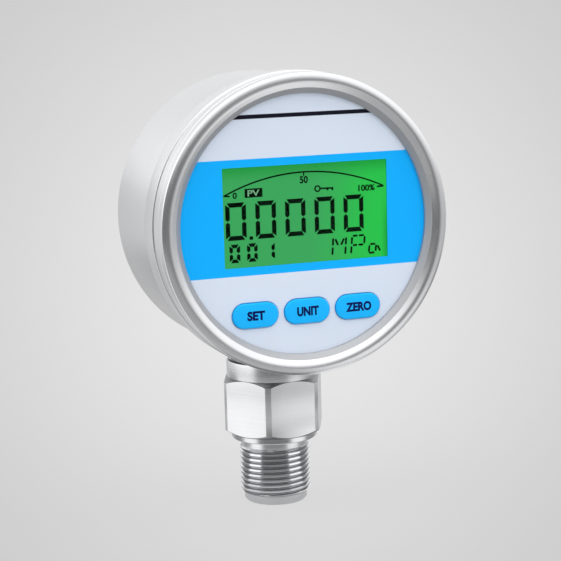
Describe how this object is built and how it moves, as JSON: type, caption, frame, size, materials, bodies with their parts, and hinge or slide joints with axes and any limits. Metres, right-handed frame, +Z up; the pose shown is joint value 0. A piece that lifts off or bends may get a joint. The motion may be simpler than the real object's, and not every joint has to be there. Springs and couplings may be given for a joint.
{
  "type": "digital pressure gauge",
  "caption": "Round stainless-steel digital pressure gauge with a green display, push keys, a hexagon stem and a male threaded process connection.",
  "frame": {"origin": "centre of the nose's end face, on the axis of the process thread", "axes": "+Z up the stem; the dial faces -Y; +X is to the right seen from the front"},
  "size_m": [0.081, 0.0475, 0.1227],
  "materials": {
    "case_steel": "drawn stainless steel, brushed round the drum",
    "bezel_steel": "turned stainless steel, satin, with a rolled crest",
    "stem_steel": "turned and milled stainless steel",
    "film": "printed film, pale with a blue band and a black line",
    "clear_plastic": "clear acrylic window",
    "key_rubber": "blue silicone rubber with dark lettering",
    "panel_plastic": "moulded carrier",
    "display": "green backlit display with dark segments",
    "light_guide": "clear light guide",
    "board_laminate": "green circuit board",
    "chip_plastic": "black moulded packages",
    "plated_metal": "tinned contacts and cans",
    "holder_plastic": "black moulded tray and frame",
    "battery_wrap": "printed steel can, plain",
    "seal_rubber": "black nitrile rubber",
    "screw_steel": "stainless screws",
    "ribbon_jacket": "grey flat ribbon"
  },
  "bodies": {
    "case": {"case_shell": "case_steel", "stem_boss": "case_steel", "rear_cover": "case_steel", "bezel_ring": "bezel_steel", "front_gasket": "seal_rubber", "rear_gasket": "seal_rubber", "face_overlay": "film", "display_window": "clear_plastic", "front_panel": "panel_plastic", "lcd_glass": "display", "backlight": "light_guide", "lcd_frame": "holder_plastic", "lcd_pins": "plated_metal", "main_board": "board_laminate", "board_screws": "screw_steel", "controller_chip": "chip_plastic", "converter_chip": "chip_plastic", "crystal_can": "plated_metal", "capacitors": "plated_metal", "lead_socket": "holder_plastic", "battery_holder": "holder_plastic", "battery_contacts": "plated_metal", "battery_upper": "battery_wrap", "battery_lower": "battery_wrap", "process_connector": "stem_steel", "stem_seal": "seal_rubber", "stem_nut": "stem_steel", "sensor_capsule": "stem_steel", "sensor_seal": "seal_rubber", "sensor_pins": "plated_metal", "sensor_retainer": "stem_steel", "sensor_ribbon": "ribbon_jacket", "cover_screws": "screw_steel", "switch_set": "chip_plastic", "switch_unit": "chip_plastic", "switch_zero": "chip_plastic"},
    "set_key": {"key_set": "key_rubber", "plunger_set": "chip_plastic"},
    "unit_key": {"key_unit": "key_rubber", "plunger_unit": "chip_plastic"},
    "zero_key": {"key_zero": "key_rubber", "plunger_zero": "chip_plastic"}
  },
  "joints": [
    {"name": "set_press", "type": "slide", "parent": "case", "child": "set_key", "axis": [0, 1, 0], "range_m": [0, 0.0004], "stiffness_N_per_m": 1500},
    {"name": "unit_press", "type": "slide", "parent": "case", "child": "unit_key", "axis": [0, 1, 0], "range_m": [0, 0.0004], "stiffness_N_per_m": 1500},
    {"name": "zero_press", "type": "slide", "parent": "case", "child": "zero_key", "axis": [0, 1, 0], "range_m": [0, 0.0004], "stiffness_N_per_m": 1500}
  ]
}
